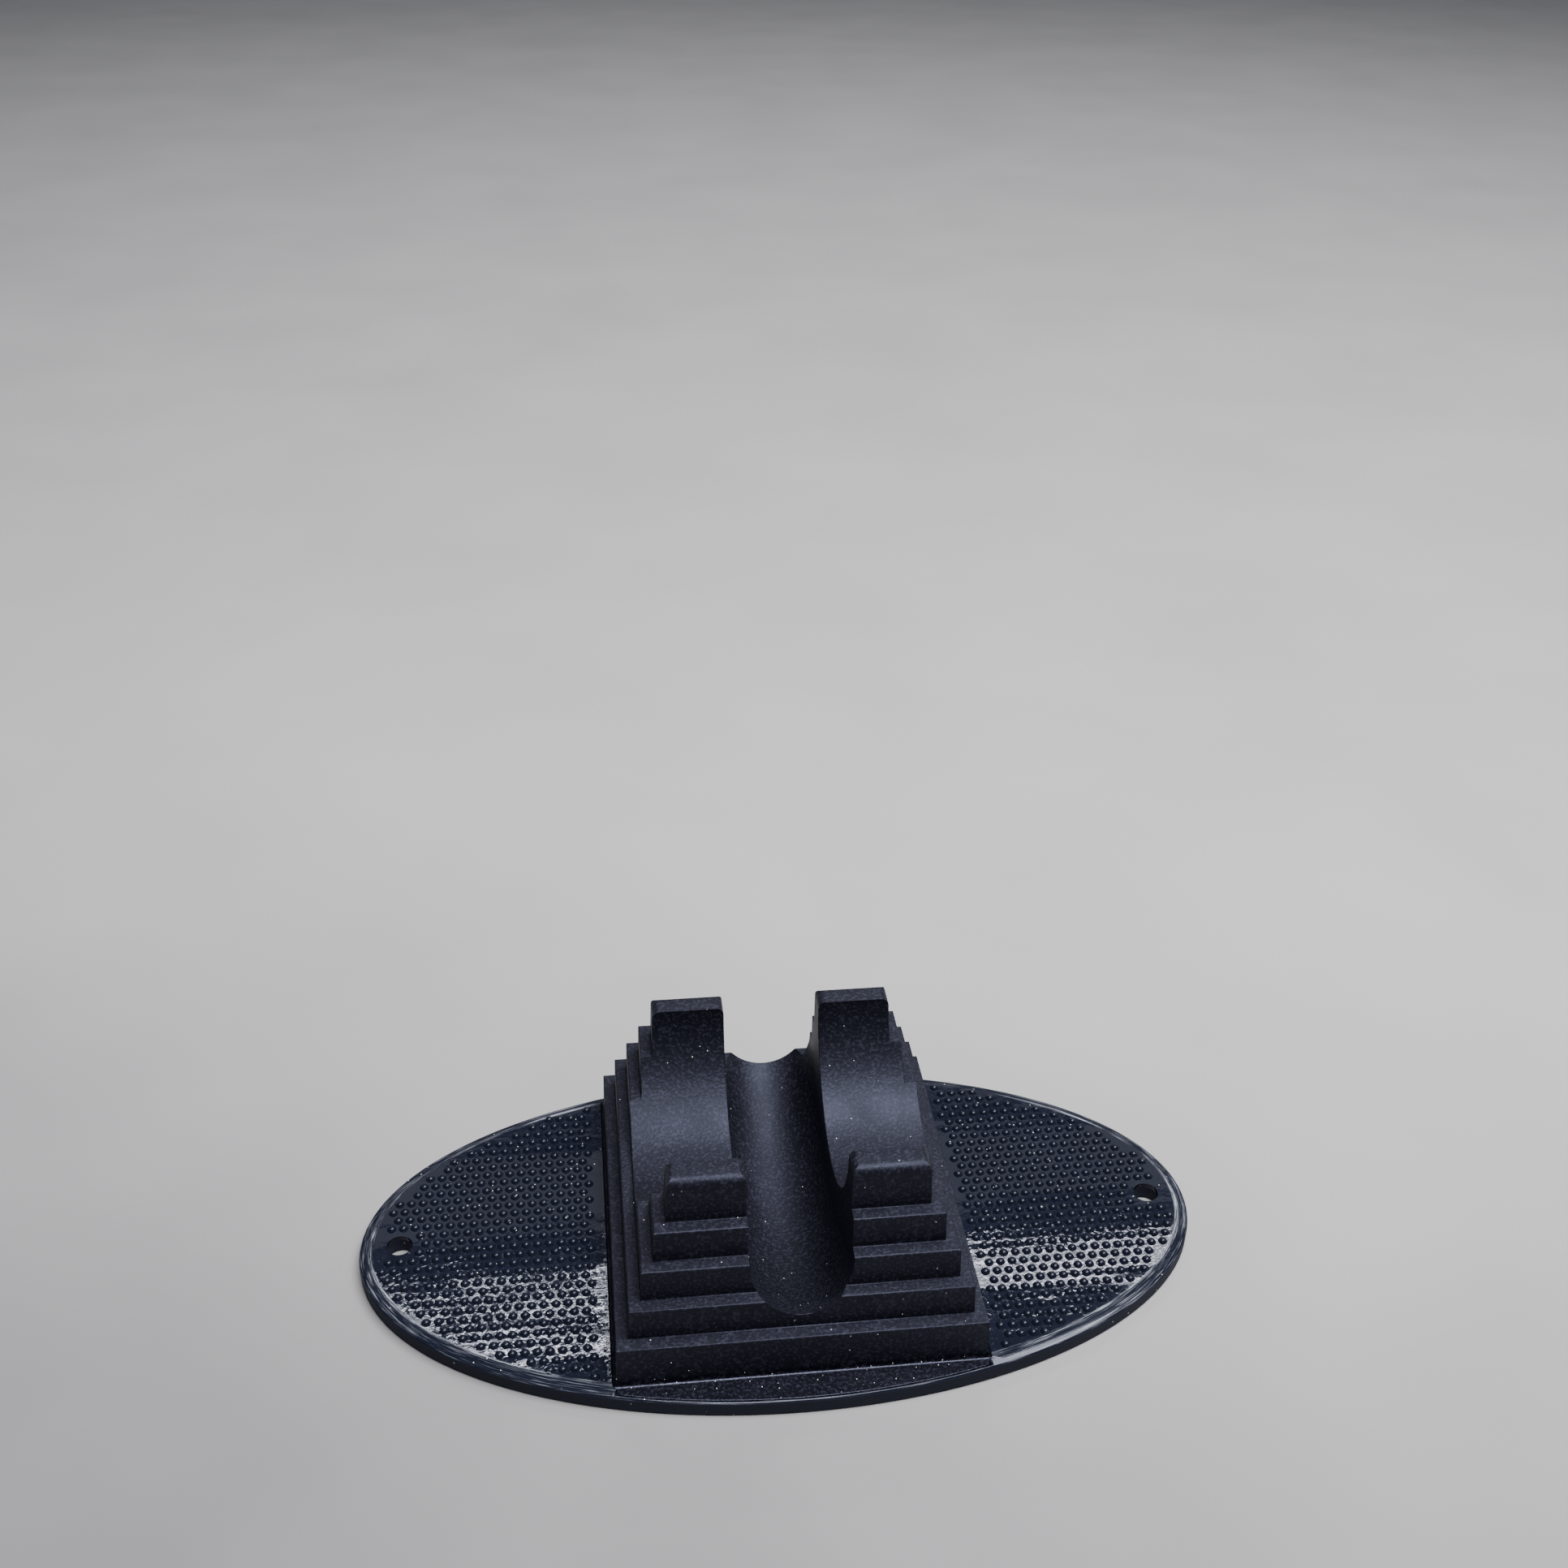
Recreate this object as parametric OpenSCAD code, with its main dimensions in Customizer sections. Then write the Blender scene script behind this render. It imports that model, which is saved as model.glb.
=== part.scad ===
// Floor stand for the front wheel of a kick scooter.
// A wheel cradle drops into an oval base plate and is held by screws from below.
// X runs along the oval, Y is the way the wheel rolls, the floor is Z = 0.

/* [Base plate] */
// Half length of the oval outline
oval_a = 122; // [112:0.5:147]
// Half width of the oval outline
oval_b = 66; // [64:0.5:80]
// Height of the studded top above the floor
pan_top = 5.8; // [5.4:0.1:9]
// Height of the outline's top edge above the floor
rim_edge = 4.8; // [4.4:0.1:5.2]
// Radius on the outline's top edge
rim_round = 0.8; // [0.4:0.1:1]
// Slope of the border between the outline and the studded top, in degrees
border_slope = 20; // [12:1:40]
// Thickness of the top skin
top_skin = 2.4; // [2:0.1:2.8]
// Thickness of the outer wall
rim_skin = 2.4; // [2:0.1:3]
// Rim left in front of and behind the cradle
rim_wall = 0.9; // [0.8:0.1:1.6]
// Height of the underside above the floor
plate_gap = 0.4; // [0.2:0.1:0.8]
// Thickness of the well floor that the cradle sits on
well_skin = 1.8; // [1.4:0.1:2]

/* [Fixing holes] */
// Distance between the two holes for screwing the stand down
hole_spacing = 221; // [200:0.5:226]
// Diameter of the two holes
hole_d = 7.4; // [4:0.1:8]
// Wall of the tubes around the two holes
hole_wall = 2.4; // [1.6:0.1:3]

/* [Cradle] */
// Half width of the lowest step, across the wheel
step_half_w = 50; // [46:0.5:60]
// Half depth of the lowest step, along the wheel
step_half_d = 55.9; // [50:0.1:58]
// Number of steps below the corner blocks
step_count = 4; // [3:1:4]
// Height of the lowest tread above the floor
first_tread = 17.5; // [14:0.1:22]
// Rise of each further step
step_rise = 9.6; // [8:0.1:12]
// Tread width at the sides
tread_x = 3.7; // [2.5:0.1:4.2]
// Tread width at the front and the back
tread_y = 4.15; // [3:0.05:4.6]
// Height of the corner blocks above the last tread
block_h = 13.7; // [10:0.1:20]
// Radius on the corner blocks' top edges
block_round = 2.3; // [1:0.1:3]
// Radius on the treads' edges
tread_round = 0.5; // [0.2:0.1:1]
// Slope of the walls, in degrees from upright
draft = 1.5; // [0:0.1:3]
// Radius of the flare at the cradle's foot
foot_flare = 0.8; // [0.5:0.1:1.5]
// Height of the sills in front of and behind the steps
sill_top = 4.6; // [4.2:0.1:5]
// Wall thickness
wall = 2.8; // [2:0.1:3.5]

/* [Wheel slot] */
// Width of the wheel slot
slot_w = 28; // [24:0.5:34]
// Radius of the slot's curved floor, as the wheel rolls
slot_r = 88.5; // [80:0.5:95]
// Height of the slot's lowest point
slot_bottom = 5; // [4.6:0.1:8]
// Thickness of the slot's floor
slot_skin = 2.4; // [1.8:0.1:2.4]
// Radius of the hollow that clears the axle and the fork
hollow_r = 31.8; // [24:0.2:34]
// Height of the hollow's centre
hollow_z = 60.6; // [56:0.1:66]

/* [Ribs and screws] */
// Thickness of the ribs in both mouldings
rib_t = 2; // [1.5:0.1:3]
// Distance between the ribs
rib_pitch = 22; // [16:1:24]
// Screw position across the wheel
screw_x = 40; // [36:0.5:42]
// Screw position along the wheel
screw_y = 46; // [42:0.5:47]
// Diameter of the screw's shank
screw_d = 4; // [3:0.1:5]
// Length of the screw below its head
screw_len = 12; // [8:0.5:16]
// Diameter of the screw's pan head
head_d = 8; // [6:0.1:9]
// Height of the screw's pan head
head_h = 2.4; // [1.8:0.1:3]
// Depth of the screw heads inside the underside
head_recess = 0.6; // [0.4:0.1:1]
// Wall of the cups and bosses around the screws
boss_wall = 2.2; // [1.6:0.1:3]

/* [Rubber feet] */
// Diameter of a rubber foot
foot_d = 14; // [10:0.5:16]
// Thickness of a rubber foot
foot_t = 1.2; // [1:0.1:2]

/* [Clearances] */
// Gap between the cradle's sides and its well
seam = 0.15; // [0.1:0.05:0.3]
// Groove between the sill and the rim
groove = 0.4; // [0.2:0.1:0.6]
// Radial gap around the screw heads and the feet
loose_fit = 0.2; // [0.1:0.05:0.4]
// Radial gap around the screw shanks
shank_fit = 0.05; // [0.02:0.01:0.1]

/* [Hidden] */
$fn = 96;
oval_sides = 144;
arc_steps = 4;
reach = 400;
overlap = 1;

block_top = first_tread + step_rise * (step_count - 1) + block_h;
last_tread = block_top - block_h;
well_floor = plate_gap + well_skin;
slot_half = slot_w / 2;
// Centre of the slot's curved floor, which lies above the stand
slot_z = slot_bottom + slot_r;

// Foot of the lowest step's walls, where the draft has widened them
foot_half_w = step_half_w + drafted(first_tread - pan_top);
foot_half_d = step_half_d + drafted(first_tread - sill_top);
well_half_w = foot_half_w + foot_flare + seam;
well_half_d = foot_half_d + foot_flare + seam;

// The screw heads sit in cups that rise from the well floor to the bosses
cup_skin = 1.6;
head_top = plate_gap + head_recess + head_h;
cup_top = head_top + cup_skin;
cup_r = head_d / 2 + loose_fit + boss_wall;
boss_r = screw_d / 2 + boss_wall;
pilot_top = head_top + screw_len + overlap;
boss_top = last_tread - 2 * step_rise;
screw_places = [for (sx = [-1, 1], sy = [-1, 1]) [sx * screw_x, sy * screw_y]];

// Two feet lie inboard of the fixing holes and four beside the cradle. Each pocket's wall
// runs into the wall beside it
foot_edge = foot_d / 2 + loose_fit;
foot_wall = 1.6;
end_foot_x = hole_spacing / 2 - hole_d / 2 - hole_wall - foot_wall / 2 - foot_edge;
side_foot_x = well_half_w + rim_skin + foot_wall / 2 + foot_edge;
side_foot_y = oval_half_depth(side_foot_x + foot_edge) - foot_edge - rim_skin - foot_wall;
foot_places = concat([[-end_foot_x, 0], [end_foot_x, 0]],
    [for (sx = [-1, 1], sy = [-1, 1]) [sx * side_foot_x, sy * side_foot_y]]);

// How far a drafted wall moves out over a height
function drafted(h) = h * tan(draft);

// Half depth of the oval outline at a distance from its centre
function oval_half_depth(x) = oval_b * sqrt(max(0, 1 - pow(x / oval_a, 2)));

// Point of the outline at angle t, moved inwards square to the outline
function oval_point(t, inset) =
    let (nx = cos(t) / oval_a, ny = sin(t) / oval_b, n = norm([nx, ny]))
    [oval_a * cos(t) - inset * nx / n, oval_b * sin(t) - inset * ny / n];

// turn is in steps between the outline's points
function oval(inset, turn = 0) =
    [for (i = [0:oval_sides - 1]) oval_point(360 * (i + turn) / oval_sides, inset)];

// The border's section from the underside up and in to the studded top: [inset, height]
border_start = rim_edge - rim_round * (1 - cos(border_slope));
border_inset = rim_round * (1 - sin(border_slope)) + (pan_top - border_start) / tan(border_slope);
border_section = concat(
    [[0, plate_gap]],
    [for (i = [0:arc_steps]) let (a = (90 - border_slope) * i / arc_steps)
        [rim_round * (1 - cos(a)), rim_edge - rim_round * (1 - sin(a))]],
    [[border_inset, pan_top]]);

// Solid skinned over rings that all have the same number of points
module skin(rings) {
    n = len(rings[0]);
    last = (len(rings) - 1) * n;
    sides = [for (k = [0:len(rings) - 2], i = [0:n - 1])
        [k * n + i, (k + 1) * n + i, (k + 1) * n + (i + 1) % n, k * n + (i + 1) % n]];
    caps = [[for (i = [0:n - 1]) i], [for (i = [n - 1:-1:0]) last + i]];
    polyhedron(points = [for (r = rings) each r], faces = concat(sides, caps));
}

// Its corners lie half a step away from the border's edges
module oval_slab(inset, z0, z1)
    translate([0, 0, z0])
        linear_extrude(z1 - z0)
            polygon(oval(inset, 0.5));

module box(half_x, half_y, z0, z1)
    translate([-half_x, -half_y, z0])
        cube([2 * half_x, 2 * half_y, z1 - z0]);

// ---- Wheel cradle ----

// Right half of a wall's section, seen along the wall: drafted, with a rounded top edge
function wall_section(half, z0, z1, round) = concat(
    [[0, z0], [half + drafted(z1 - z0), z0]],
    [for (i = [0:arc_steps]) let (a = 90 * i / arc_steps)
        [half - round * (1 - cos(a)), z1 - round * (1 - sin(a))]],
    [[0, z1]]);

// The same with a flare where the wall meets the surface at height foot_z
function flared_section(half, foot_z, z1, round) =
    let (foot = half + drafted(z1 - foot_z))
    concat(
        [[0, well_floor], [foot + foot_flare, well_floor]],
        [for (i = [0:arc_steps]) let (a = 90 * i / arc_steps)
            [foot + foot_flare * (1 - sin(a)), foot_z + foot_flare * (1 - cos(a))]],
        [for (i = [0:arc_steps]) let (a = 90 * i / arc_steps)
            [half - round * (1 - cos(a)), z1 - round * (1 - sin(a))]],
        [[0, z1]]);

function mirrored(points) = concat(points, [for (i = [len(points) - 1:-1:0]) [-points[i].x, points[i].y]]);

// Solid with one section seen from the front and another seen from the side
module crossed(front, side)
    intersection() {
        rotate([90, 0, 0]) linear_extrude(reach, center = true) polygon(mirrored(front));
        rotate([90, 0, 90]) linear_extrude(reach, center = true) polygon(mirrored(side));
    }

module steps() {
    crossed(
        flared_section(step_half_w, pan_top, first_tread, tread_round),
        flared_section(step_half_d, sill_top, first_tread, tread_round));
    for (i = [1:step_count - 1])
        let (z1 = first_tread + i * step_rise, z0 = z1 - step_rise - overlap)
            crossed(
                wall_section(step_half_w - i * tread_x, z0, z1, tread_round),
                wall_section(step_half_d - i * tread_y, z0, z1, tread_round));
}

// Front section of a block, rounded towards the side wall and towards the slot
function block_section(half) = concat(
    [[slot_half, last_tread - overlap], [half + drafted(block_h + overlap), last_tread - overlap]],
    [for (i = [0:2 * arc_steps]) let (a = 45 * i / arc_steps)
        [half - block_round * (1 - cos(a)), block_top - block_round * (1 - sin(a))]],
    [for (i = [0:2 * arc_steps]) let (a = 45 * i / arc_steps)
        [slot_half + block_round * (1 - sin(a)), block_top - block_round * (1 - cos(a))]]);

module blocks() {
    half_x = step_half_w - step_count * tread_x - drafted(block_h - step_rise);
    half_y = step_half_d - step_count * tread_y - drafted(block_h - step_rise);
    intersection() {
        rotate([90, 0, 0])
            linear_extrude(reach, center = true)
                for (s = [0, 1])
                    mirror([s, 0, 0]) polygon(block_section(half_x));
        rotate([90, 0, 90])
            linear_extrude(reach, center = true)
                polygon(mirrored(wall_section(half_y, last_tread - overlap, block_top, block_round)));
    }
}

// Sill in front of and behind the steps, cut to the inside of the rim
module sills()
    intersection() {
        oval_slab(rim_wall + groove, well_floor, sill_top);
        box(foot_half_w, reach, well_floor, sill_top);
    }

// Space swept by the wheel: a disc with a half-round edge. grow adds the skin around it
module wheel_space(grow)
    translate([0, 0, slot_z])
        rotate([0, 90, 0]) {
            cylinder(r = slot_r - slot_half, h = slot_w + 2 * grow, center = true);
            rotate_extrude()
                intersection() {
                    translate([slot_r - slot_half, 0]) circle(r = slot_half + grow);
                    translate([slot_r - slot_half - overlap, -slot_w]) square([slot_w + overlap, 2 * slot_w]);
                }
        }

module axle_space(grow)
    translate([0, 0, hollow_z])
        rotate([0, 90, 0])
            cylinder(r = hollow_r + grow, h = reach, center = true);

module cradle_outside()
    difference() {
        union() {
            steps();
            blocks();
            sills();
        }
        axle_space(0);
        wheel_space(0);
    }

// Hollow under the steps, one wall in from every outer face
module cradle_inside()
    difference() {
        for (i = [0:step_count])
            let (
                top = i < step_count ? first_tread + i * step_rise : block_top,
                shrink = wall + (i < step_count ? 0 : drafted(block_h)))
                box(
                    step_half_w - i * tread_x - shrink,
                    step_half_d - i * tread_y - shrink,
                    well_floor - overlap, top - wall);
        axle_space(wall);
        wheel_space(slot_skin);
    }

module ribs() {
    rib_x = (slot_half + slot_skin + step_half_w - wall) / 2;
    rib_count = floor(step_half_d / rib_pitch);
    for (s = [-1, 1]) {
        translate([s * rib_x - rib_t / 2, -step_half_d, well_floor])
            cube([rib_t, 2 * step_half_d, block_top]);
        for (k = [0.5 - rib_count:rib_count - 0.5])
            translate([s * rib_x - rib_x + slot_half, k * rib_pitch - rib_t / 2, well_floor])
                cube([2 * rib_x - 2 * slot_half, rib_t, block_top]);
    }
}

module wheel_cradle()
    color("#1b1d24")
        difference() {
            intersection() {
                cradle_outside();
                union() {
                    difference() {
                        box(reach, reach, 0, block_top + overlap);
                        cradle_inside();
                    }
                    ribs();
                    for (p = screw_places)
                        translate([p.x, p.y, cup_top])
                            cylinder(r = boss_r, h = boss_top - cup_top);
                }
            }
            for (p = screw_places)
                translate([p.x, p.y, 0]) {
                    cylinder(r = cup_r + loose_fit, h = cup_top);
                    cylinder(r = screw_d / 2 + shank_fit, h = pilot_top);
                }
        }

// ---- Base plate ----

// Well that the cradle drops into
module well() {
    intersection() {
        oval_slab(rim_wall, well_floor, pan_top + overlap);
        box(foot_half_w + seam, reach, well_floor, pan_top + overlap);
    }
    box(well_half_w, well_half_d, well_floor, pan_top + overlap);
}

// Hollow under the studded top on both sides of the well, with its ribs left standing
module underside()
    difference() {
        oval_slab(rim_skin, plate_gap - overlap, pan_top - top_skin);
        box(well_half_w + rim_skin, reach, 0, pan_top);
        for (s = [-1, 1], x = [well_half_w + rib_pitch:rib_pitch:oval_a])
            translate([s * x - rib_t / 2, -reach / 2, 0])
                cube([rib_t, reach, pan_top]);
        for (k = [-1, 0, 1])
            translate([-reach / 2, k * rib_pitch - rib_t / 2, 0])
                cube([reach, rib_t, pan_top]);
        for (s = [-1, 1])
            translate([s * hole_spacing / 2, 0, 0])
                cylinder(r = hole_d / 2 + hole_wall, h = pan_top);
        for (p = foot_places)
            translate([p.x, p.y, 0])
                cylinder(r = foot_edge + foot_wall, h = pan_top);
    }

module base_plate()
    color("#14161f")
        difference() {
            union() {
                difference() {
                    skin([for (s = border_section) [for (p = oval(s[0])) [p.x, p.y, s[1]]]]);
                    well();
                    underside();
                }
                for (p = screw_places)
                    translate([p.x, p.y, plate_gap])
                        cylinder(r = cup_r, h = cup_top - plate_gap);
            }
            for (p = screw_places)
                translate([p.x, p.y, 0]) {
                    cylinder(r = head_d / 2 + loose_fit, h = head_top);
                    cylinder(r = screw_d / 2 + loose_fit, h = pan_top);
                }
            for (s = [-1, 1])
                translate([s * hole_spacing / 2, 0, 0])
                    cylinder(d = hole_d, h = pan_top + overlap);
            for (p = foot_places)
                translate([p.x, p.y, 0])
                    cylinder(r = foot_edge, h = foot_t);
        }

// ---- Fasteners and feet ----

module cradle_screw(p)
    color("#b9bcc2")
        translate([p.x, p.y, 0])
            difference() {
                union() {
                    translate([0, 0, head_top - head_h])
                        cylinder(d = head_d, h = head_h);
                    cylinder_from(head_top - overlap / 2, head_top + screw_len - screw_d / 2, screw_d / 2);
                    translate([0, 0, head_top + screw_len - screw_d / 2])
                        cylinder(r1 = screw_d / 2, r2 = screw_d / 8, h = screw_d / 2);
                }
                // Cross recess for the driver
                for (a = [0, 90])
                    rotate(a)
                        translate([-head_d / 4, -head_d / 16, head_top - head_h - overlap])
                            cube([head_d / 2, head_d / 8, overlap + head_h / 2]);
            }

module cylinder_from(z0, z1, r)
    translate([0, 0, z0])
        cylinder(r = r, h = z1 - z0);

module rubber_foot(p)
    color("#22242a")
        translate([p.x, p.y, 0])
            cylinder(d = foot_d, h = foot_t);

base_plate();
wheel_cradle();
for (i = [1:4])
    cradle_screw(screw_places[i - 1]);
for (i = [1:6])
    rubber_foot(foot_places[i - 1]);
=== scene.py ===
from math import radians

import bmesh
import bpy
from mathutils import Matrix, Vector


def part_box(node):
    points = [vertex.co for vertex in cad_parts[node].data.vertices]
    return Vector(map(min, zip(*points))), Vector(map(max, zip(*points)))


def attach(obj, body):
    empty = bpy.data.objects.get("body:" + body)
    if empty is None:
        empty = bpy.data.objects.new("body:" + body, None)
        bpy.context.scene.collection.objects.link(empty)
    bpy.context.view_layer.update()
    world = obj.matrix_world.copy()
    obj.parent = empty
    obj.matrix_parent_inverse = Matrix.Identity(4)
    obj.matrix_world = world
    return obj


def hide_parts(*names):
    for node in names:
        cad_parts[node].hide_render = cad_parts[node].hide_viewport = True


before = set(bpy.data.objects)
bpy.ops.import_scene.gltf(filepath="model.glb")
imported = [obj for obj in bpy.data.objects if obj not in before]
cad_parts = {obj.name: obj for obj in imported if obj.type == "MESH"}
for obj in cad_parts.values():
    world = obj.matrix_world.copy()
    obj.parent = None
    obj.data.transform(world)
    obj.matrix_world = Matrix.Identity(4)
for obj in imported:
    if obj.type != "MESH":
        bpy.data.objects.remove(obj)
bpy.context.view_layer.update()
MM = 0.001


# ---- View ----
# The stand is seen from in front and above, a little from the left, as by
# someone who stands over it.
camera = bpy.data.objects.new("camera", bpy.data.cameras.new("camera"))
camera.location = (-0.0491, -0.3890, 0.3905)
camera.rotation_euler = (radians(59.009), radians(-0.836), radians(-6.517))
camera.data.sensor_width = 36
camera.data.lens = 41.645
camera.data.clip_start = 0.01
bpy.context.collection.objects.link(camera)
bpy.context.scene.camera = camera


# ---- Room ----
# A plain pale floor under soft lights. Its grey is painted darker in front and lighter towards the rear and
# right, as painted shade and light. Long panels hang behind the stand, and the glossy plate mirrors them
# towards the viewer.
def new_material(name, **sockets):
    """A material with its tree and its shader. sockets sets the shader's own values."""
    material = bpy.data.materials.new(name)
    material.use_nodes = True
    shader = material.node_tree.nodes["Principled BSDF"]
    for key, value in sockets.items():
        shader.inputs[key.replace("_", " ")].default_value = value
    return material, material.node_tree, shader


def add(tree, kind, inputs=None, **settings):
    """A node of that kind. inputs gives values, or the sockets that feed it."""
    node = tree.nodes.new(kind)
    for key, value in settings.items():
        setattr(node, key, value)
    for key, value in (inputs or {}).items():
        if isinstance(value, bpy.types.NodeSocket):
            tree.links.new(value, node.inputs[key])
        else:
            node.inputs[key].default_value = value
    return node


def math(tree, operation, first, second=0.0, clamp=False):
    """Result of one sum on two numbers."""
    node = add(tree, "ShaderNodeMath", {0: first, 1: second}, operation=operation, use_clamp=clamp)
    return node.outputs[0]


def vector_math(tree, operation, first, second=(0, 0, 0)):
    """Result of one sum on two vectors."""
    node = add(tree, "ShaderNodeVectorMath", {0: first, 1: second}, operation=operation)
    return node.outputs["Value" if operation in ("LENGTH", "DOT_PRODUCT") else "Vector"]


def object_place(tree):
    """Place on the piece, in its own metres."""
    return add(tree, "ShaderNodeTexCoord").outputs["Object"]


def noise(tree, place, size, detail=2.0, roughness=0.5, distortion=0.0):
    """Soft random pattern whose grains are about size metres."""
    node = add(tree, "ShaderNodeTexNoise", {
        "Vector": place, "Scale": 1 / size, "Detail": detail, "Roughness": roughness,
        "Distortion": distortion})
    return node.outputs["Fac"]


def ramp(tree, value, low, high, low_to=0.0, high_to=1.0, smooth=True):
    """value from low to high becomes low_to to high_to, and stays inside them."""
    node = add(tree, "ShaderNodeMapRange", {
        "Value": value, "From Min": low, "From Max": high, "To Min": low_to, "To Max": high_to},
        interpolation_type="SMOOTHSTEP" if smooth else "LINEAR")
    return node.outputs["Result"]


def mixed(tree, amount, first, second):
    """First colour, turning to the second as amount goes from 0 to 1."""
    node = add(tree, "ShaderNodeMix", {"Factor": amount, "A": first, "B": second}, data_type="RGBA")
    return node.outputs["Result"]


def light_panel(name, place, aim, width, depth, watts):
    """A soft rectangular light at place that faces aim."""
    data = bpy.data.lights.new(name, "AREA")
    data.shape = "RECTANGLE"
    data.size = width
    data.size_y = depth
    data.energy = watts
    panel = bpy.data.objects.new(name, data)
    panel.location = place
    panel.rotation_euler = (Vector(aim) - Vector(place)).to_track_quat("-Z", "Y").to_euler()
    bpy.context.collection.objects.link(panel)


front_painted_shade_grey = (0.105, 0.103, 0.109, 1)
rear_painted_light_grey = (0.36, 0.357, 0.368, 1)
bpy.ops.mesh.primitive_plane_add(size=6)
floor = bpy.context.object
floor.name = "floor"
paint, tree, shader = new_material("pale_floor", Roughness=0.55)
place = object_place(tree)
# The floor's grey turns from painted shade in front to painted light towards the rear and right, with a
# random cloud over it
towards_rear = vector_math(tree, "DOT_PRODUCT", place, (0.4, 1.0, 0.0))
cloud_and_painted_light = math(tree, "ADD", math(tree, "MULTIPLY", noise(tree, place, 0.11), 0.3),
              ramp(tree, towards_rear, -0.25, 0.25, 0.0, 0.8))
tree.links.new(mixed(tree, cloud_and_painted_light, front_painted_shade_grey, rear_painted_light_grey), shader.inputs["Base Color"])
floor.data.materials.append(paint)

world = bpy.data.worlds.new("room")
bpy.context.scene.world = world
world.use_nodes = True
world.node_tree.nodes["Background"].inputs["Color"].default_value = (0.80, 0.85, 1.0, 1)
world.node_tree.nodes["Background"].inputs["Strength"].default_value = 0.07
panel_height = 1.5
light_panel("overhead_panel", (0.35, -0.22, panel_height), (0.1, 0.1, 0), 1.6, 0.8, 84)

# Place along x and y, length, width and watts: three thin bright strips, one glow among them,
# and two wide dim panels further back
strips = (
    (0.25, 1.41, 1.7, 0.006, 2.6),
    (0.25, 1.365, 1.7, 0.010, 4.0),
    (-0.2, 1.30, 0.6, 0.012, 1.7),
    (0.50, 1.38, 1.1, 0.08, 3.0),
    (0.25, 1.60, 2.4, 0.18, 1.4),
    (0.25, 1.87, 2.4, 0.22, 1.1))
for along_x, along_y, length, width, watts in strips:
    light_panel("strip", (along_x, along_y, panel_height), (along_x, along_y, 0), length, width, watts)


# ---- Base plate ----
# The oval plate is moulded in hard glossy plastic. Its top bears moulding
# flow lines, and its border is scuffed by shoes and tyres.
def plain_mesh(piece):
    """The piece's mesh with its modifiers carried out."""
    return bpy.data.meshes.new_from_object(piece.evaluated_get(bpy.context.evaluated_depsgraph_get()))


def joined_copy(node, name, ease=0.2 * MM):
    """Copy of a CAD node as one joined skin. Its edges are eased, except at corners too tight for it."""
    skin = bmesh.new()
    skin.from_mesh(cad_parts[node].data)
    bmesh.ops.remove_doubles(skin, verts=skin.verts, dist=0.002 * MM)
    bmesh.ops.dissolve_limit(skin, angle_limit=radians(0.2), verts=skin.verts, edges=skin.edges)
    share = skin.edges.layers.float.new("bevel_weight_edge")
    for edge in skin.edges:
        beside_it = [near for corner in edge.verts for near in corner.link_edges]
        roomy = min(near.calc_length() for near in beside_it) > 3 * ease
        edge[share] = 1.0 if roomy and edge.calc_face_angle(0) > radians(40) else 0.0
    mesh = bpy.data.meshes.new(name)
    skin.to_mesh(mesh)
    skin.free()
    mesh.shade_smooth()
    mesh.set_sharp_from_angle(angle=radians(30))
    piece = bpy.data.objects.new(name, mesh)
    bpy.context.collection.objects.link(piece)
    eased = piece.modifiers.new("eased_edges", "BEVEL")
    eased.width = ease
    eased.segments = 2
    eased.limit_method = "WEIGHT"
    eased.use_clamp_overlap = False
    weighted = piece.modifiers.new("flat_faces_stay_flat", "WEIGHTED_NORMAL")
    weighted.keep_sharp = True
    piece.data = plain_mesh(piece)
    piece.modifiers.clear()

    # A corner point that the easing pushed out returns to the node's box
    low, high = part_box(node)
    for vertex in piece.data.vertices:
        vertex.co = [min(max(value, least), most) for value, least, most in zip(vertex.co, low, high)]
    return piece


def dust(tree, place, spacing, speck, share):
    """1 on scattered specks of dust, 0 elsewhere. share is the part of the cells that hold one."""
    cells = add(tree, "ShaderNodeTexVoronoi", {"Vector": place, "Scale": 1 / spacing, "Randomness": 1.0})
    near = math(tree, "LESS_THAN", cells.outputs["Distance"], speck / spacing)
    chosen = add(tree, "ShaderNodeSeparateColor", {"Color": cells.outputs["Color"]}).outputs["Red"]
    return math(tree, "MULTIPLY", near, math(tree, "LESS_THAN", chosen, share))


def coordinate(tree, place, axis):
    """One number of a place."""
    return add(tree, "ShaderNodeSeparateXYZ", {"Vector": place}).outputs[axis]


plate_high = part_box("base_plate")[1]
oval_a = plate_high.x
oval_b = plate_high.y

plastic_dark = (0.004, 0.005, 0.010, 1)
plastic_light = (0.007, 0.008, 0.016, 1)
worn_grey = (0.34, 0.36, 0.42, 1)
dust_white = (0.75, 0.75, 0.72, 1)
plate = joined_copy("base_plate", "base_plate_moulding")
glossy, tree, shader = new_material(
    "glossy_plastic", Specular_Tint=(0.80, 0.84, 1.0, 1), Specular_IOR_Level=0.25)
place = object_place(tree)

# Depth in from the outline, and a place on a ring that follows the outline
flat = vector_math(tree, "MULTIPLY", place, (1 / oval_a, 1 / oval_b, 0))
reach = vector_math(tree, "LENGTH", flat)
steepness = vector_math(tree, "MULTIPLY", place, (1 / oval_a**2, 1 / oval_b**2, 0))
slope = vector_math(tree, "LENGTH", steepness)
depth = math(tree, "DIVIDE", math(tree, "MULTIPLY", reach, math(tree, "SUBTRACT", 1.0, reach)), slope)
ring = vector_math(tree, "MULTIPLY", vector_math(tree, "NORMALIZE", flat), (9 * MM, 9 * MM, 0))
across = add(tree, "ShaderNodeCombineXYZ", {"Z": math(tree, "MULTIPLY", depth, 6.0)}).outputs["Vector"]
streaks = noise(tree, vector_math(tree, "ADD", ring, across), 1.0 * MM, detail=4, roughness=0.6)
cloud = noise(tree, place, 14 * MM, detail=3)

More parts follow.
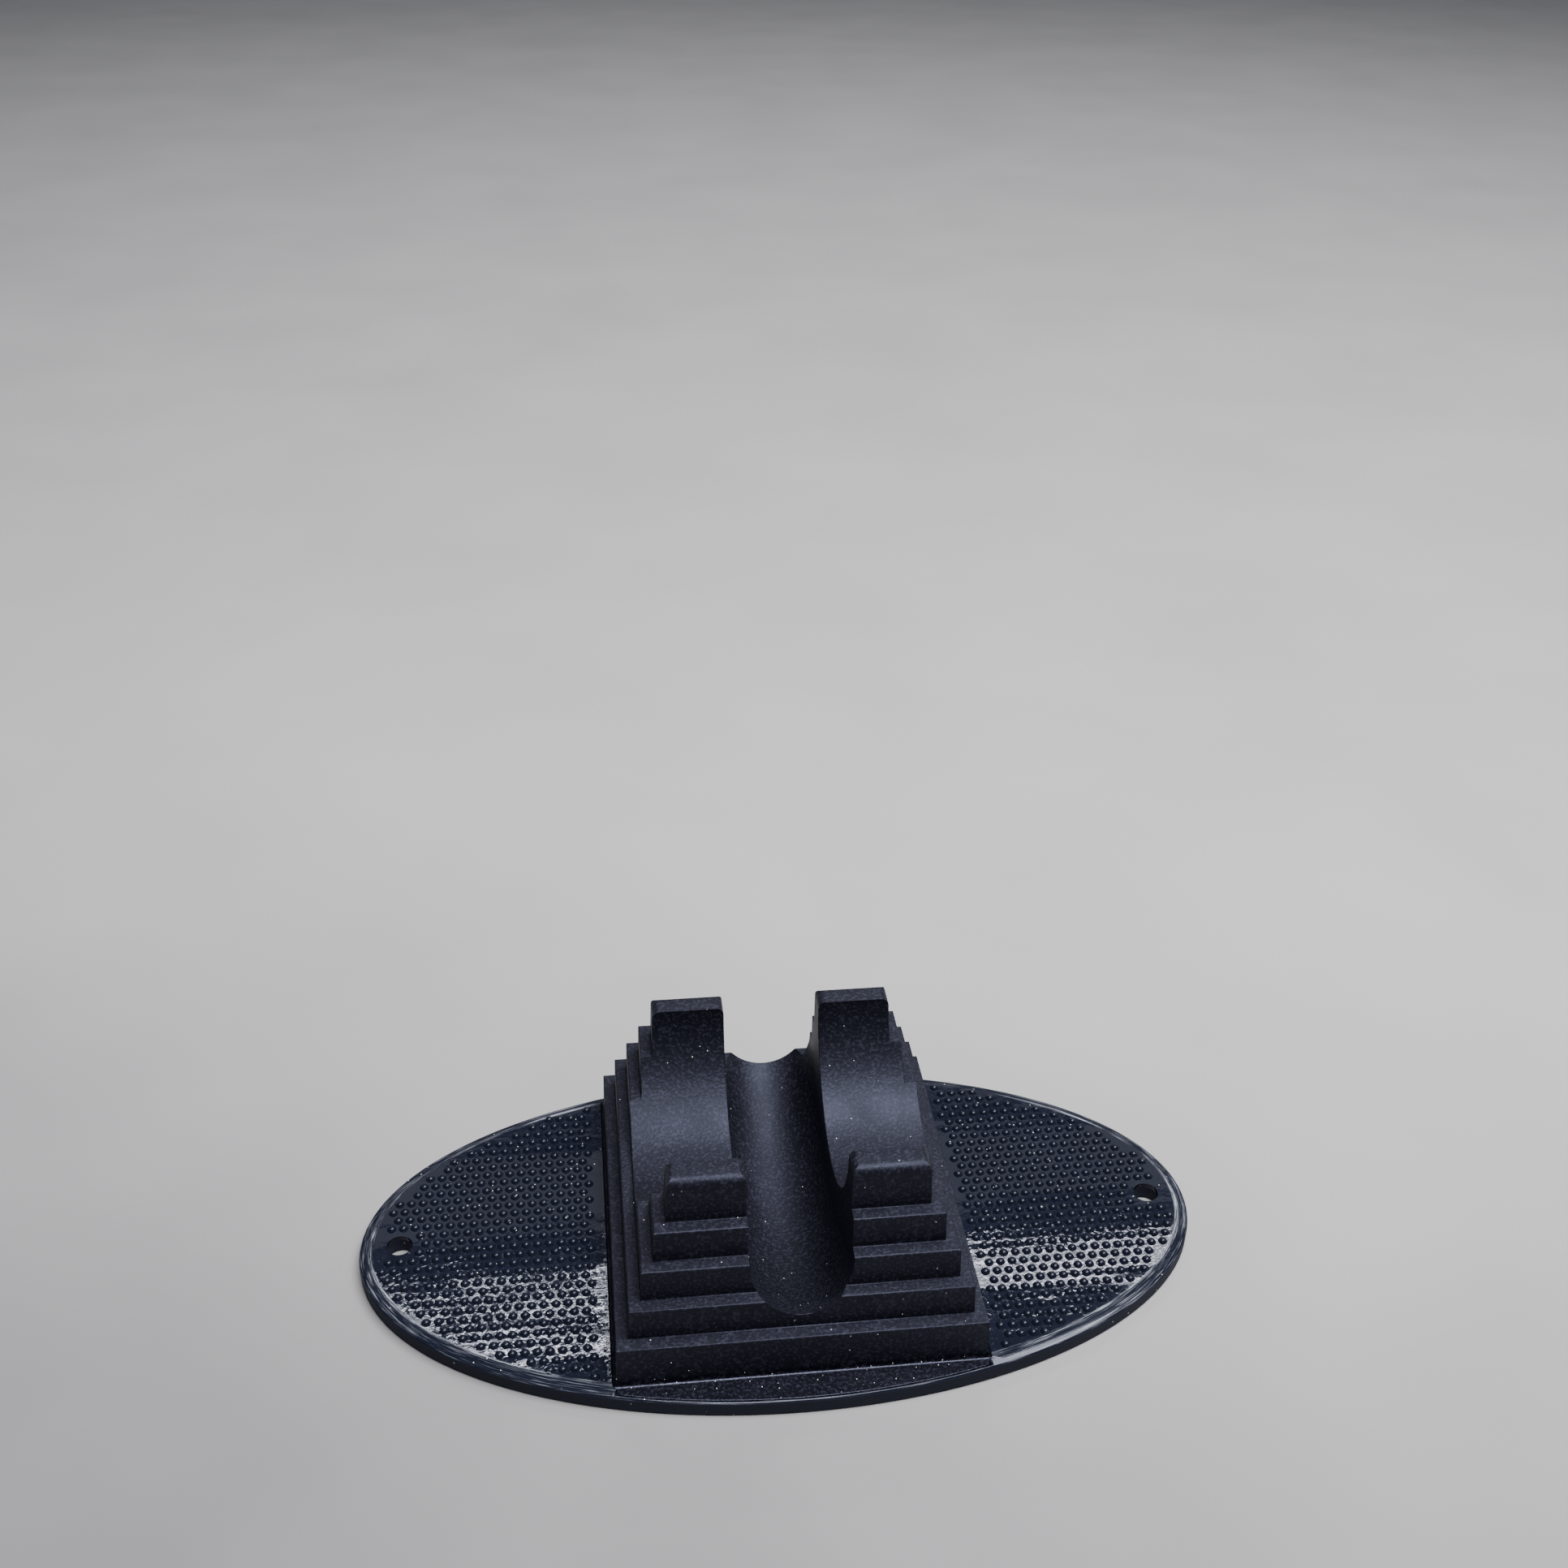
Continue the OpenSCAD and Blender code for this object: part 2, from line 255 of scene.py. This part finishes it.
# Wear: the inner edge of the border, a second line near the outline, and the rub between them
inner_edge = math(tree, "MULTIPLY", ramp(tree, depth, 2.7 * MM, 3.35 * MM),
                  ramp(tree, depth, 4.2 * MM, 3.45 * MM))
outer_line = math(tree, "MULTIPLY", ramp(tree, depth, 0.7 * MM, 1.1 * MM),
                  ramp(tree, depth, 1.5 * MM, 1.2 * MM))
border = ramp(tree, depth, 4.0 * MM, 3.0 * MM)
rub = math(tree, "MULTIPLY", border, ramp(tree, streaks, 0.52, 0.72))
patchy = ramp(tree, math(tree, "MULTIPLY", streaks, math(tree, "ADD", cloud, 0.5)), 0.48, 0.72)
lines = math(tree, "MAXIMUM", inner_edge, math(tree, "MULTIPLY", outer_line, 0.6))
lines = math(tree, "MULTIPLY", lines, patchy)
height = coordinate(tree, place, "Z")
on_top = ramp(tree, height, plate_high.z - 1.6 * MM, plate_high.z - 1.2 * MM)
wear = math(tree, "MAXIMUM", lines, math(tree, "MULTIPLY", rub, 0.45))
wear = math(tree, "MULTIPLY", wear, on_top, clamp=True)

# The smooth strip beside the cradle is scuffed as well
beside = coordinate(tree, vector_math(tree, "ABSOLUTE", place), "X")
scuffed = math(tree, "MULTIPLY", ramp(tree, beside, 55 * MM, 52 * MM),
               noise(tree, place, 1.2 * MM, detail=4, roughness=0.7))
rubbed = math(tree, "MAXIMUM", wear, math(tree, "MULTIPLY", ramp(tree, scuffed, 0.45, 0.7), 0.5))

# Flow lines run along the plate. A crackle and fine scratches lie between them
along = vector_math(tree, "MULTIPLY", place, (0.22, 1, 1))
flow = noise(tree, along, 9 * MM, detail=1.5, roughness=0.45, distortion=0.3)
crackle = noise(tree, place, 2.2 * MM, detail=1.6, roughness=0.5, distortion=1.0)
scratches = noise(tree, place, 1.1 * MM, detail=4, roughness=0.7, distortion=1.5)
specks = dust(tree, place, spacing=1.8 * MM, speck=0.16 * MM, share=0.16)

colour = mixed(tree, cloud, plastic_dark, plastic_light)
colour = mixed(tree, wear, colour, worn_grey)
colour = mixed(tree, specks, colour, dust_white)
tree.links.new(colour, shader.inputs["Base Color"])

# The pans are the glossiest. The border, the studs, the scuffs and above all the outer wall are duller
below_studs = ramp(tree, height, plate_high.z + 0.2 * MM, plate_high.z + 0.1 * MM)
dull = math(tree, "MAXIMUM", math(tree, "MAXIMUM", rubbed, specks), math(tree, "MULTIPLY", border, 0.35))
dull = math(tree, "MAXIMUM", dull, ramp(tree, on_top, 1.0, 0.0, 0.0, 1.8))
dull = math(tree, "MAXIMUM", dull, ramp(tree, below_studs, 1.0, 0.0, 0.0, 0.45))
rough = math(tree, "ADD", ramp(tree, scratches, 0.52, 0.72, 0.02, 0.13), math(tree, "MULTIPLY", dull, 0.4))
tree.links.new(rough, shader.inputs["Roughness"])
waves = add(tree, "ShaderNodeBump", {"Height": flow, "Distance": 0.08 * MM, "Strength": below_studs})
cracks = add(tree, "ShaderNodeBump", {"Height": crackle, "Distance": 0.011 * MM, "Strength": below_studs,
                                      "Normal": waves.outputs["Normal"]})
tree.links.new(cracks.outputs["Normal"], shader.inputs["Normal"])
plate.data.materials.append(glossy)
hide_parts("base_plate")
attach(plate, "root")


# ---- Grip studs ----
# Low domes moulded with the plate stand in staggered rows on both sides of the
# cradle, clear of the border and of the fixing holes.
stud_sizes = {
    "Stud diameter": 2.35 * MM,
    "Stud height": 1.05 * MM,
    "Flare around a stud": 0.22 * MM,
    "Height of the flare": 0.1 * MM,
    "Spacing in a row": 3.375 * MM,
    "Spacing of the rows": 3.33 * MM,
    "First stud": 55.8 * MM,
    "Half length of the oval": oval_a,
    "Half width of the oval": oval_b,
    "Smooth strip along the outline": 4.7 * MM,
    "Smooth strip at the ends": 5.1 * MM,
    "Start of the end strip": 95 * MM,
    "Full width of the end strip": 112 * MM,
    "Smooth strip behind": 5.7 * MM,
    "Start of the strip behind": 70 * MM,
    "Full width of the strip behind": 80 * MM,
    "Fixing hole": 110.5 * MM,
    "Smooth ring around a hole": 6.2 * MM,
    "Top of the plate": plate_high.z,
}
stud_columns = 20
stud_rows = 39
stud_sides = 12
stud_rings = 5

tree = bpy.data.node_groups.new("grip_studs", "GeometryNodeTree")
tree.interface.new_socket("Geometry", in_out="INPUT", socket_type="NodeSocketGeometry")
tree.interface.new_socket("Geometry", in_out="OUTPUT", socket_type="NodeSocketGeometry")
for label in stud_sizes:
    tree.interface.new_socket(label, in_out="INPUT", socket_type="NodeSocketFloat")
size = add(tree, "NodeGroupInput").outputs


def position_parts(tree):
    """The three numbers of each point's place."""
    place = add(tree, "GeometryNodeInputPosition").outputs["Position"]
    return add(tree, "ShaderNodeSeparateXYZ", {"Vector": place}).outputs


def combined(tree, x, y, z=0.0):
    """A vector from three numbers."""
    return add(tree, "ShaderNodeCombineXYZ", {"X": x, "Y": y, "Z": z}).outputs["Vector"]


# Rows of points on the right side, each second row half a step out
grid = add(tree, "GeometryNodeMeshGrid", {
    "Size X": math(tree, "MULTIPLY", size["Spacing in a row"], stud_columns - 1),
    "Size Y": math(tree, "MULTIPLY", size["Spacing of the rows"], stud_rows - 1),
    "Vertices X": stud_columns, "Vertices Y": stud_rows})
half_row = math(tree, "MULTIPLY", size["Spacing in a row"], (stud_columns - 1) / 2)
x, y, z = position_parts(tree)
row = math(tree, "ROUND", math(tree, "DIVIDE", y, size["Spacing of the rows"]))
odd = math(tree, "MODULO", math(tree, "ABSOLUTE", row), 2.0)
shift = math(tree, "MULTIPLY", math(tree, "MULTIPLY", odd, size["Spacing in a row"]), 0.5)
start = math(tree, "ADD", math(tree, "ADD", half_row, size["First stud"]), shift)
right = add(tree, "GeometryNodeSetPosition", {
    "Geometry": grid.outputs["Mesh"], "Offset": combined(tree, start, 0.0)})
left = add(tree, "GeometryNodeSetPosition", {
    "Geometry": right.outputs["Geometry"],
    "Position": combined(tree, math(tree, "MULTIPLY", x, -1.0), y)})
both = add(tree, "GeometryNodeJoinGeometry")
for side in (right, left):
    tree.links.new(side.outputs["Geometry"], both.inputs["Geometry"])

# Points too near the outline or a hole go. The strip left smooth is wider at the ends and behind
reach = vector_math(tree, "LENGTH", combined(
    tree,
    math(tree, "DIVIDE", x, size["Half length of the oval"]),
    math(tree, "DIVIDE", y, size["Half width of the oval"])))
slope = vector_math(tree, "LENGTH", combined(
    tree,
    math(tree, "DIVIDE", x, math(tree, "POWER", size["Half length of the oval"], 2.0)),
    math(tree, "DIVIDE", y, math(tree, "POWER", size["Half width of the oval"], 2.0))))
inset = math(tree, "DIVIDE", math(tree, "MULTIPLY", reach, math(tree, "SUBTRACT", 1.0, reach)), slope)
outward = math(tree, "ABSOLUTE", x)
from_hole = vector_math(tree, "LENGTH", combined(
    tree, math(tree, "SUBTRACT", outward, size["Fixing hole"]), y))
strip = ramp(tree, outward, size["Start of the end strip"], size["Full width of the end strip"],
             size["Smooth strip along the outline"], size["Smooth strip at the ends"])
strip_behind = ramp(tree, outward, size["Start of the strip behind"], size["Full width of the strip behind"],
                    size["Smooth strip along the outline"], size["Smooth strip behind"])
strip_behind = math(tree, "MULTIPLY", strip_behind, math(tree, "GREATER_THAN", y, 0.0))
strip = math(tree, "MAXIMUM", strip, strip_behind)
outside = math(tree, "MAXIMUM",
               math(tree, "LESS_THAN", inset, strip),
               math(tree, "LESS_THAN", from_hole, size["Smooth ring around a hole"]))
kept = add(tree, "GeometryNodeDeleteGeometry", {
    "Geometry": both.outputs["Geometry"], "Selection": outside})

# One stud is a cone in rings. Its foot spreads into a flare, and the rest bends into a dome
radius = math(tree, "MULTIPLY", size["Stud diameter"], 0.5)
cone = add(tree, "GeometryNodeMeshCone", {
    "Vertices": stud_sides, "Side Segments": stud_rings,
    "Radius Top": 0.0, "Radius Bottom": radius, "Depth": size["Stud height"]})
up = math(tree, "DIVIDE", z, size["Stud height"])
left_over = math(tree, "MAXIMUM", math(tree, "SUBTRACT", 1.0, up), 0.01)
turn = math(tree, "MULTIPLY", ramp(tree, up, 1 / stud_rings, 1.0, smooth=False), radians(90))
on_dome = math(tree, "GREATER_THAN", up, 0.5 / stud_rings)
flare = math(tree, "DIVIDE", size["Flare around a stud"], radius)
foot = math(tree, "MULTIPLY", math(tree, "SUBTRACT", 1.0, on_dome), flare)
widen = math(tree, "DIVIDE", math(tree, "ADD", math(tree, "COSINE", turn), foot), left_over)
dome_height = math(tree, "SUBTRACT", size["Stud height"], size["Height of the flare"])
rise = math(tree, "ADD", math(tree, "MULTIPLY", math(tree, "SINE", turn), dome_height),
            math(tree, "MULTIPLY", on_dome, size["Height of the flare"]))
dome = add(tree, "GeometryNodeSetPosition", {
    "Geometry": cone.outputs["Mesh"],
    "Position": combined(tree, math(tree, "MULTIPLY", x, widen), math(tree, "MULTIPLY", y, widen), rise)})
round_dome = add(tree, "GeometryNodeSetShadeSmooth", {"Geometry": dome.outputs["Geometry"]})
placed = add(tree, "GeometryNodeInstanceOnPoints", {
    "Points": kept.outputs["Geometry"], "Instance": round_dome.outputs["Geometry"]})
lifted = add(tree, "GeometryNodeTranslateInstances", {
    "Instances": placed.outputs["Instances"],
    "Translation": combined(tree, 0.0, 0.0, size["Top of the plate"])})
real = add(tree, "GeometryNodeRealizeInstances", {"Geometry": lifted.outputs["Instances"]})
finished = add(tree, "GeometryNodeSetMaterial", {
    "Geometry": real.outputs["Geometry"], "Material": glossy})
result = add(tree, "NodeGroupOutput")
tree.links.new(finished.outputs["Geometry"], result.inputs["Geometry"])


def grown(tree, sizes, name):
    """The tree's result with these sizes, as a plain mesh piece."""
    seed = bpy.data.objects.new(name, bpy.data.meshes.new(name + "_seed"))
    bpy.context.collection.objects.link(seed)
    modifier = seed.modifiers.new(name, "NODES")
    modifier.node_group = tree
    for socket in tree.interface.items_tree:
        if socket.in_out == "INPUT" and socket.name in sizes:
            modifier[socket.identifier] = sizes[socket.name]
    mesh = plain_mesh(seed)
    seed.modifiers.remove(modifier)
    seed.data = mesh
    mesh.name = name
    return seed


studs = grown(tree, stud_sizes, "grip_studs")
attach(studs, "root")


# ---- Wheel cradle ----
# The cradle is moulded in a matt plastic with a fine spark texture, and drops
# into the plate. Its sills in front and behind are smoother and gather dust.
spark_dark = (0.002, 0.0021, 0.0038, 1)
spark_light = (0.016, 0.0165, 0.026, 1)
pale_dust = (0.7, 0.7, 0.68, 1)
cradle = joined_copy("wheel_cradle", "wheel_cradle_moulding")
hollow_centre = Vector((0, 0, 60.6 * MM))
hollow_radius = 31.8 * MM
slot_centre = Vector((0, 0, 93.5 * MM))
slot_path_radius = 74.5 * MM
slot_radius = 14 * MM
on_surface = 0.06 * MM


def true_normal(point, flat_normal):
    """Exact normal of the hollow or of the slot's round floor at a point on one of them, or else None."""
    spoke = Vector((0, point.y, point.z)) - hollow_centre
    path = Vector((0, point.y, point.z)) - slot_centre
    into_slot = slot_centre + path.normalized() * slot_path_radius - point
    for inward, radius in ((-spoke, hollow_radius), (into_slot, slot_radius)):
        touches = abs(inward.length - radius) < on_surface
        faces_same_way = inward.normalized().dot(flat_normal) > 0.99
        if touches and faces_same_way:
            return inward.normalized()
    return None


mesh = cradle.data
normals = [corner.vector.copy() for corner in mesh.corner_normals]
for face in mesh.polygons:
    for corner in face.loop_indices:
        point = mesh.vertices[mesh.loops[corner].vertex_index].co
        exact = true_normal(point, face.normal)
        if exact:
            normals[corner] = exact
mesh.normals_split_custom_set(normals)

matt, tree, shader = new_material(
    "spark_textured_plastic", Specular_Tint=(0.66, 0.70, 1.0, 1), Specular_IOR_Level=0.31)
place = object_place(tree)
grain = noise(tree, place, 0.9 * MM, detail=2, roughness=0.55)
cloud = noise(tree, place, 12 * MM, detail=3)
specks = dust(tree, place, spacing=2.4 * MM, speck=0.15 * MM, share=0.2)
colour = mixed(tree, ramp(tree, grain, 0.45, 0.75), spark_dark, spark_light)
height = coordinate(tree, place, "Z")
away = coordinate(tree, vector_math(tree, "ABSOLUTE", place), "Y")
on_sill = math(tree, "MULTIPLY", ramp(tree, height, 6.8 * MM, 6.3 * MM),
               ramp(tree, away, 40 * MM, 50 * MM))
sill_specks = dust(tree, place, spacing=1.5 * MM, speck=0.13 * MM, share=0.35)
settled = math(tree, "MULTIPLY", sill_specks, on_sill)
colour = mixed(tree, math(tree, "MAXIMUM", specks, settled), colour, pale_dust)
tree.links.new(colour, shader.inputs["Base Color"])
matt_rough = ramp(tree, cloud, 0.3, 0.7, 0.52, 0.60)
rough = math(tree, "SUBTRACT", matt_rough, math(tree, "MULTIPLY", on_sill, 0.28))
tree.links.new(rough, shader.inputs["Roughness"])
bump = add(tree, "ShaderNodeBump", {"Height": grain, "Distance": 0.12 * MM, "Strength": 1.0})
tree.links.new(bump.outputs["Normal"], shader.inputs["Normal"])
cradle.data.materials.append(matt)
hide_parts("wheel_cradle")
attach(cradle, "root")


# ---- Cradle screws ----
# Four zinc-plated pan-head screws hold the cradle from below. Their threads are
# cut into the cradle's bosses and don't show.
zinc_cool = (0.52, 0.53, 0.55, 1)
zinc_warm = (0.66, 0.66, 0.64, 1)
zinc, tree, shader = new_material("zinc_plated_steel", Metallic=1.0)
place = object_place(tree)
grain = noise(tree, place, 0.4 * MM, detail=3)
colour = mixed(tree, noise(tree, place, 2 * MM), zinc_cool, zinc_warm)
tree.links.new(colour, shader.inputs["Base Color"])
tree.links.new(ramp(tree, grain, 0.3, 0.7, 0.24, 0.42), shader.inputs["Roughness"])
bump = add(tree, "ShaderNodeBump", {"Height": grain, "Distance": 0.01 * MM})
tree.links.new(bump.outputs["Normal"], shader.inputs["Normal"])


def give_material(first_word, material):
    """Give this material to each CAD node whose name starts with first_word."""
    for node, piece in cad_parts.items():
        if node.startswith(first_word):
            piece.material_slots[0].material = material


give_material("cradle_screw", zinc)


# ---- Rubber feet ----
# Six die-cut rubber pads are glued into pockets under the plate and keep it off
# the floor.
rubber_dark = (0.018, 0.018, 0.019, 1)
rubber_light = (0.04, 0.04, 0.042, 1)
rubber, tree, shader = new_material("foot_rubber")
place = object_place(tree)
grain = noise(tree, place, 0.5 * MM, detail=4, roughness=0.6)
cloud = noise(tree, place, 4 * MM, detail=3)
colour = mixed(tree, cloud, rubber_dark, rubber_light)
tree.links.new(colour, shader.inputs["Base Color"])
tree.links.new(ramp(tree, grain, 0.3, 0.7, 0.65, 0.85), shader.inputs["Roughness"])
bump = add(tree, "ShaderNodeBump", {"Height": grain, "Distance": 0.06 * MM})
tree.links.new(bump.outputs["Normal"], shader.inputs["Normal"])
give_material("rubber_foot", rubber)
